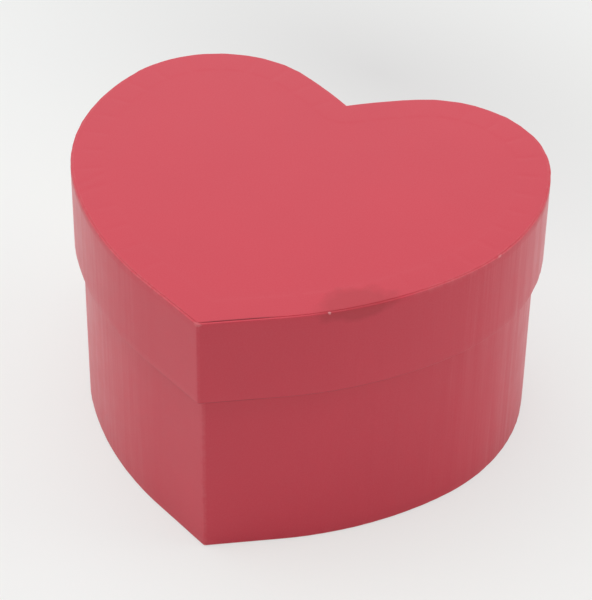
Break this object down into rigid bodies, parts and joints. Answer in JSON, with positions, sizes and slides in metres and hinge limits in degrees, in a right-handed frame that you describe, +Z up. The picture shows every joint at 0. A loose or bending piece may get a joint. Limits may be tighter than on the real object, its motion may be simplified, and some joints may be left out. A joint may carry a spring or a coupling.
{
  "type": "heart gift box",
  "caption": "Heart-shaped rigid gift box in red paper over greyboard, with a deep tray and a lift-off lid whose side laps over the tray.",
  "frame": {"origin": "on the surface that the box stands on, at the middle of the lid's outline", "axes": "+X across both lobes, +Z up, -Y towards the tip of the heart, +Y towards the cleft"},
  "size_m": [0.18, 0.1654, 0.108],
  "materials": {
    "red_wrap": "satin red wrapping paper",
    "greyboard": "raw grey chipboard",
    "lining": "matt ivory lining paper",
    "kraft_tape": "gummed kraft tape"
  },
  "bodies": {
    "tray": {"tray_foot_sheet": "red_wrap", "tray_side_wrap": "red_wrap", "tray_wall_board": "greyboard", "tray_bottom_board": "greyboard", "tray_joint_tape": "kraft_tape", "tray_wall_lining": "lining", "tray_floor_sheet": "lining"},
    "lid": {"lid_top_sheet": "red_wrap", "lid_side_wrap": "red_wrap", "lid_wall_board": "greyboard", "lid_top_board": "greyboard", "lid_joint_tape": "kraft_tape", "lid_wall_lining": "lining", "lid_ceiling_sheet": "lining"}
  },
  "joints": [
    {"name": "lid_lift", "type": "slide", "parent": "tray", "child": "lid", "axis": [0, 0, 1], "range_m": [0, 0.15]}
  ]
}
